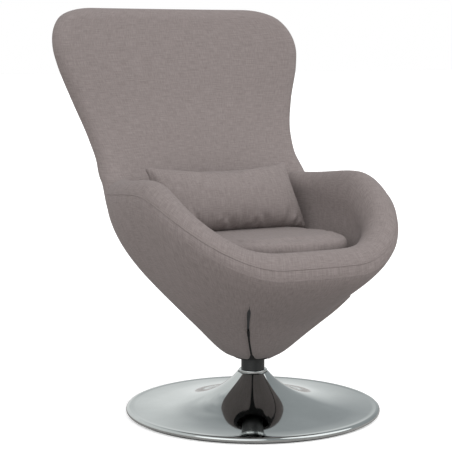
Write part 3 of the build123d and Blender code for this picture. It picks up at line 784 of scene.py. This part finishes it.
def seat_cushion():
    """Rounded outlines stacked from the tucked foot over the side to the top, which slopes to the rear.

    The outline is a superellipse; the side swells from the foot and turns in over a quarter circle.
    """
    turn = np.linspace(0, 2 * np.pi, CUSHION_STEPS, endpoint=False)
    shape_x = np.sign(np.cos(turn)) * np.abs(np.cos(turn)) ** (2 / CUSHION_SQUARENESS)
    shape_y = np.sign(np.sin(turn)) * np.abs(np.sin(turn)) ** (2 / CUSHION_SQUARENESS)
    rise = np.linspace(0, 1, CUSHION_SIDE_ROWS)
    roll = np.linspace(0, np.pi / 2, CUSHION_EDGE_ROWS)[1:]
    share = np.concatenate([
        CUSHION_SIDE_SHARE * rise,
        CUSHION_SIDE_SHARE + (1 - CUSHION_SIDE_SHARE) * np.sin(roll),
    ])
    draw = CUSHION_AIR_ROOM + np.concatenate([
        CUSHION_TUCK * (1 - rise) ** CUSHION_TUCK_POWER,
        CUSHION_EDGE_ROUND * (1 - np.cos(roll)),
    ])
    front_tuck = CUSHION_FRONT_TUCK * (1 - smooth_step(share, *CUSHION_FRONT_TUCK_SPAN))
    front = CUSHION_FRONT - draw - front_tuck
    rear = CUSHION_REAR - draw
    x = (CUSHION_HALF_WIDTH - draw)[:, None] * shape_x
    y = np.where(shape_y < 0, front[:, None], rear[:, None]) * shape_y
    rings = np.stack([x, y, np.broadcast_to(share[:, None], x.shape)], -1)
    inward = np.linspace(1, 0, CUSHION_TOP_ROWS)[1:]
    top = rings[-1] * np.stack([inward, inward, np.ones_like(inward)], -1)[:, None]
    outward = np.linspace(0, 1, CUSHION_FOOT_ROWS, endpoint=False)
    under = rings[0] * np.stack([outward, outward, np.ones_like(outward)], -1)[:, None]
    points = np.concatenate([under, rings, top], 0)
    slope = math.tan(math.radians(CUSHION_SLOPE)) * points[..., 2]
    points[..., 2] = CUSHION_FOOT + CUSHION_HEIGHT * points[..., 2] - slope * points[..., 1]
    piece = grid_mesh("seat_cushion_pad", points, closed_v=True)
    tidy_mesh(piece, PAD_MERGE)
    return piece


def weave_from_top(piece):
    """Weave map of the seat cushion, straight down on its top and wrapped over its sides."""
    points = vertex_points(piece.data)
    drop = points[:, 2:].max() - points[:, 2:]
    out = points[:, :2] / np.maximum(np.linalg.norm(points[:, :2], axis=1, keepdims=True), 1e-6)
    set_weave(piece.data, points[:, :2] + out * drop)


def lumbar_pillow():
    """Two crowned faces that meet at a bowed rectangular seam, leaned back on the seat cushion.

    Each face's height over the seam plane is a product of powers of the distances from the four sides,
    with the lower power at the foot so that the filling sits low.
    """
    u = np.sin(np.linspace(-np.pi / 2, np.pi / 2, PILLOW_COLUMNS))
    v = np.sin(np.linspace(-np.pi / 2, np.pi / 2, PILLOW_ROWS))
    across, up = np.meshgrid(u, v, indexing="ij")
    x = across * (PILLOW_WIDTH / 2 - PILLOW_PULL * (1 - up ** 2))
    z = up * (PILLOW_HEIGHT / 2 - PILLOW_PULL * (1 - across ** 2)) - PILLOW_SAG * (1 - up) / 2
    crown = (1 - across ** 4) ** PILLOW_SIDE_POWER
    crown = crown * (1 - up) ** PILLOW_TOP_POWER * (1 + up) ** PILLOW_FOOT_POWER
    fat = PILLOW_START_THICKNESS / 2 * crown + PILLOW_EDGE
    loop = np.concatenate([np.stack([x, -fat, z], -1), np.stack([x, fat, z], -1)[:, ::-1]], 1)
    ends = end_quads(PILLOW_COLUMNS, 2 * PILLOW_ROWS)
    piece = grid_mesh("lumbar_pillow_pad", lean_back(loop), closed_v=True, ends=ends)
    tidy_mesh(piece, PAD_MERGE)
    return piece


def end_quads(rows, around):
    """Quads that close the first and last row of a tube-like grid by joining each row's two halves."""
    near = np.arange(around // 2 - 1)
    far = around - 1 - near
    quads = np.stack([near, near + 1, far - 1, far], -1)
    return np.concatenate([quads, quads + (rows - 1) * (around + 1)])


def pillow_centre():
    """Middle of the pillow's CAD cover."""
    low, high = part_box("pillow_cover")
    return (np.array(low) + np.array(high)) / 2 / MM


def lean_back(points):
    """Turn points about X so that their top goes to the rear, and move them to the pillow's place."""
    lean = math.radians(PILLOW_LEAN)
    y = points[..., 1] * math.cos(lean) + points[..., 2] * math.sin(lean)
    z = points[..., 2] * math.cos(lean) - points[..., 1] * math.sin(lean)
    return np.stack([points[..., 0], y, z], -1) + pillow_centre()


def sit_up(points):
    """Undo lean_back."""
    lean = math.radians(PILLOW_LEAN)
    moved = points - pillow_centre()
    y = moved[..., 1] * math.cos(lean) - moved[..., 2] * math.sin(lean)
    z = moved[..., 2] * math.cos(lean) + moved[..., 1] * math.sin(lean)
    return np.stack([moved[..., 0], y, z], -1)


def uneven(mean, swing, pace, start):
    """One value for each gather, swinging about a mean as a sine, so that no two folds are alike."""
    return mean + swing * np.sin(pace * np.arange(GATHERS) + start)


def gather(piece):
    """Gathers that rise from the pillow's lower seam: slanted narrow folds that fade out up the face.

    Each fold is a bell across its line with a shallower hollow beside it, and its height falls off
    smoothly from the seam upwards.
    """
    local = sit_up(vertex_points(piece.data) / MM)
    x, y, z = local.T
    up = (z + PILLOW_HEIGHT / 2 + PILLOW_SAG)[:, None]
    even_places = PILLOW_WIDTH * ((np.arange(GATHERS) + 0.5) / GATHERS - 0.5)
    line = even_places + uneven(*GATHER_SHIFT) + uneven(*GATHER_SLANT) * up
    across = (x[:, None] - line) / uneven(*GATHER_WIDTH)
    fade = smooth_step(up, *GATHER_START) * (1 - smooth_step(up, GATHER_START[1], uneven(*GATHER_REACH)))
    bell = np.exp(-across ** 2) - GATHER_HOLLOW * np.exp(-(across - GATHER_HOLLOW_PLACE) ** 2)
    ridges = (bell * uneven(*GATHER_SIZE) * fade).sum(1)
    local[:, 1] -= ridges * (y < 0)
    piece.data.vertices.foreach_set("co", (lean_back(local) * MM).ravel())
    set_weave(piece.data, local[:, [0, 2]] * MM)


# Base: only the trumpet is made new, the rest of it is the CAD's own

def arc_points(centre, radius, start, end, count):
    """Points of a circular arc between two angles."""
    turn = np.radians(np.linspace(start, end, count))
    return np.stack([centre[0] + radius * np.cos(turn), centre[1] + radius * np.sin(turn)], -1)


def trumpet():
    """Spun disc: a flat flare that sweeps up to the neck, with a rolled bead at the rim, turned about Z."""
    controls = np.array(TRUMPET_FLARE)[:, None]
    flare = bezier(controls, np.linspace(0, 1, TRUMPET_ROWS))[0]
    bead = arc_points(BEAD_CENTRE, BEAD_RADIUS, -BEAD_TURN, BEAD_TURN, BEAD_STEPS)
    outline = np.concatenate([bead, [BEAD_LIP], flare, flare[::-1] - TRUMPET_SHEET, [BEAD_FOOT]])
    azimuth = np.linspace(0, 360, TRUMPET_STEPS, endpoint=False)
    section = np.broadcast_to(outline, (TRUMPET_STEPS, *outline.shape))
    piece = grid_mesh("trumpet_base", polar(azimuth, section), closed_u=True, closed_v=True, weave=False)
    tidy_mesh(piece, CLOSE_MERGE)
    return piece


# Pieces of the chair

cover = outer_cover()
dress(cover, taupe, "seat", "taupe_fabric", "outer_cover", "skirt_front", "skirt_rear")
rim = rolled_rim()
dress(rim, taupe, "seat", "taupe_fabric", "inner_cover", "tub_padding")
back = winged_back()
dress(back, taupe, "seat", "taupe_fabric", "back_cover", "back_padding")
cord = rim_piping()
dress(cord, taupe, "seat", "piping_fabric", "rim_piping")
cushion = seat_cushion()
fill_with_air(cushion, CUSHION_PRESSURE, CUSHION_SWELL)
weave_from_top(cushion)
dress(cushion, taupe, "seat_cushion", "cushion_fabric", "seat_cushion_cover", "seat_cushion_foam")
pillow = lumbar_pillow()
fill_with_air(pillow, PILLOW_PRESSURE, PILLOW_SWELL)
gather(pillow)
dress(pillow, taupe, "pillow", "pillow_fabric", "pillow_cover", "pillow_filling")
disc_base = trumpet()
dress(disc_base, chrome, "base", "base_chrome", "base_trumpet")


# Floor, light and camera

def studio():
    """Pale floor and surroundings: white to the camera, soft panels to metal, an even glow to the rest."""
    side = np.array([-FLOOR_REACH, FLOOR_REACH])
    floor_points = np.stack(np.meshgrid(side, side, [FLOOR_DROP], indexing="ij"), -1)[:, :, 0]
    floor = grid_mesh("floor", floor_points, weave=False)
    tidy_mesh(floor)
    give_finish(floor, floor_material())
    world = bpy.data.worlds.new("studio")
    bpy.context.scene.world = world
    world.use_nodes = True
    tree = world.node_tree
    tree.nodes.clear()
    out = tree.nodes.new("ShaderNodeOutputWorld")
    path = tree.nodes.new("ShaderNodeLightPath")
    glow = background(tree, SKY_GLOW)
    panels = background(tree, 1.0)
    tree.links.new(soft_panels(tree), panels.inputs["Color"])
    white = background(tree, 1.0)
    metal = choose_by_ray(tree, path.outputs["Is Glossy Ray"], glow, panels)
    seen = choose_by_ray(tree, path.outputs["Is Camera Ray"], metal, white)
    tree.links.new(seen.outputs[0], out.inputs["Surface"])


def background(tree, strength):
    """White surroundings of a given strength."""
    node = tree.nodes.new("ShaderNodeBackground")
    node.inputs["Color"].default_value = (1, 1, 1, 1)
    node.inputs["Strength"].default_value = strength
    return node


def choose_by_ray(tree, ray, other, chosen):
    """Shader that is the chosen one for a kind of ray and the other one for the rest."""
    choice = tree.nodes.new("ShaderNodeMixShader")
    tree.links.new(ray, choice.inputs["Fac"])
    tree.links.new(other.outputs[0], choice.inputs[1])
    tree.links.new(chosen.outputs[0], choice.inputs[2])
    return choice


def soft_panels(tree):
    """Sky for the chrome to mirror: light low on the left, grey higher up and to the right, in soft bands.

    The tone is the sky direction's part along one named direction, plus a share of stretched noise.
    """
    place = tree.nodes.new("ShaderNodeTexCoord")
    lean = tree.nodes.new("ShaderNodeVectorMath")
    lean.operation = "DOT_PRODUCT"
    lean.inputs[1].default_value = PANEL_DIRECTION
    tree.links.new(place.outputs["Generated"], lean.inputs[0])
    mapping = tree.nodes.new("ShaderNodeMapping")
    mapping.inputs["Scale"].default_value = PANEL_STRETCH
    tree.links.new(place.outputs["Generated"], mapping.inputs["Vector"])
    noise = tree.nodes.new("ShaderNodeTexNoise")
    noise.inputs["Scale"].default_value = 1.0
    noise.inputs["Detail"].default_value = 1.0
    tree.links.new(mapping.outputs["Vector"], noise.inputs["Vector"])
    bands = tree.nodes.new("ShaderNodeMath")
    bands.operation = "MULTIPLY_ADD"
    bands.inputs[1].default_value = PANEL_BANDS
    tree.links.new(noise.outputs["Fac"], bands.inputs[0])
    tree.links.new(lean.outputs["Value"], bands.inputs[2])
    share = tree.nodes.new("ShaderNodeMapRange")
    share.inputs["From Min"].default_value = PANEL_RANGE[0]
    share.inputs["From Max"].default_value = PANEL_RANGE[1]
    tree.links.new(bands.outputs[0], share.inputs["Value"])
    ramp = tree.nodes.new("ShaderNodeValToRGB")
    ramp.color_ramp.elements[0].color = (*PANEL_DARK, 1)
    ramp.color_ramp.elements[1].color = (*PANEL_LIGHT, 1)
    tree.links.new(share.outputs["Result"], ramp.inputs["Fac"])
    return ramp.outputs["Color"]


def floor_material():
    """Matt floor: bright to the camera so that it meets the white surroundings, greyer to bounced light."""
    material, nodes, links, bright = new_material("pale_floor")
    bright.inputs["Base Color"].default_value = (*FLOOR_BRIGHT, 1)
    bright.inputs["Roughness"].default_value = FLOOR_ROUGHNESS
    bright.inputs["Emission Color"].default_value = (1, 1, 1, 1)
    bright.inputs["Emission Strength"].default_value = FLOOR_GLOW
    dim = nodes.new("ShaderNodeBsdfDiffuse")
    dim.inputs["Color"].default_value = (*FLOOR_BOUNCE, 1)
    path = nodes.new("ShaderNodeLightPath")
    choice = choose_by_ray(material.node_tree, path.outputs["Is Camera Ray"], dim, bright)
    links.new(choice.outputs[0], nodes["Material Output"].inputs["Surface"])
    return material


def sun(name, direction, strength):
    """Broad distant lamp that shines along a direction."""
    data = bpy.data.lights.new(name, "SUN")
    data.energy = strength
    data.angle = math.radians(SUN_SPREAD)
    lamp = bpy.data.objects.new(name, data)
    bpy.context.scene.collection.objects.link(lamp)
    lamp.rotation_euler = Vector(direction).to_track_quat("-Z", "Y").to_euler()


def photo_camera():
    """Camera at the photograph's viewing angle, aimed by a yaw to the right and a pitch down."""
    azimuth = math.radians(CAMERA_AZIMUTH)
    yaw = math.radians(CAMERA_YAW)
    pitch = math.radians(CAMERA_PITCH)
    upright = np.array([0.0, 0.0, 1.0])
    forward = np.array([-math.sin(azimuth), math.cos(azimuth), 0.0])
    right = np.array([math.cos(azimuth), math.sin(azimuth), 0.0])
    place = upright * CAMERA_HEIGHT - forward * CAMERA_DISTANCE
    level = forward * math.cos(yaw) + right * math.sin(yaw)
    side = right * math.cos(yaw) - forward * math.sin(yaw)
    up = upright * math.cos(pitch) + level * math.sin(pitch)
    ahead = level * math.cos(pitch) - upright * math.sin(pitch)
    data = bpy.data.cameras.new("photo_camera")
    data.sensor_width = SENSOR_WIDTH
    data.lens = CAMERA_FOCAL_PIXELS / IMAGE_PIXELS * SENSOR_WIDTH
    camera = bpy.data.objects.new("photo_camera", data)
    bpy.context.scene.collection.objects.link(camera)
    turn = Matrix(np.column_stack([side, up, -ahead]).tolist()).to_4x4()
    camera.matrix_world = Matrix.Translation(place.tolist()) @ turn
    bpy.context.scene.camera = camera


studio()
sun("key_sun", KEY_DIRECTION, KEY_STRENGTH)
sun("fill_sun", FILL_DIRECTION, FILL_STRENGTH)
photo_camera()
bpy.context.scene.view_settings.view_transform = "Standard"
